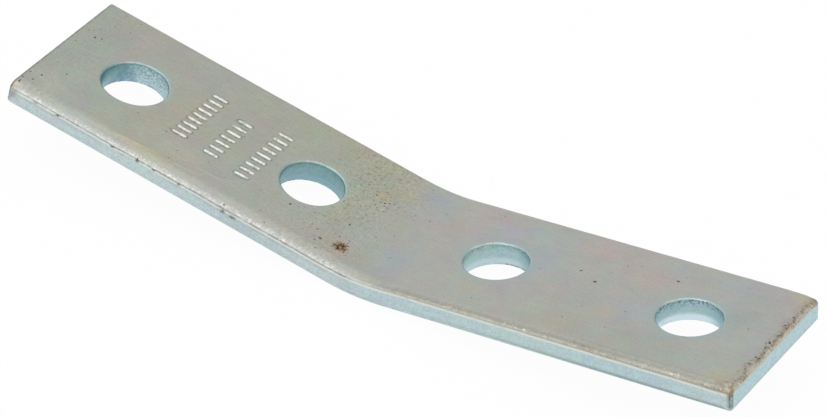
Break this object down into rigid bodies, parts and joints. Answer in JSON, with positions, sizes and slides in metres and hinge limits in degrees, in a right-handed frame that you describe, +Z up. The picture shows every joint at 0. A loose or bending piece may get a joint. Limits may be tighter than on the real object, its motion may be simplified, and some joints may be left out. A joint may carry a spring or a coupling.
{
  "type": "strut open angle bracket",
  "caption": "Flat zinc-plated steel bar with punched bolt holes, bent once at its middle to a shallow open angle, for joining channel strut.",
  "frame": {"origin": "under the middle of the bend, on the surface that the bracket lies on, at the middle of the bar's width", "axes": "+X along the bracket towards the right arm, +Y across the bar, +Z up out of the open side of the angle"},
  "size_m": [0.1838, 0.0412, 0.0178],
  "materials": {
    "zinc_plate": "satin zinc plating with faint coloured passivation, some pits and rust specks"
  },
  "bodies": {
    "root": {"bracket": "zinc_plate"}
  },
  "joints": []
}
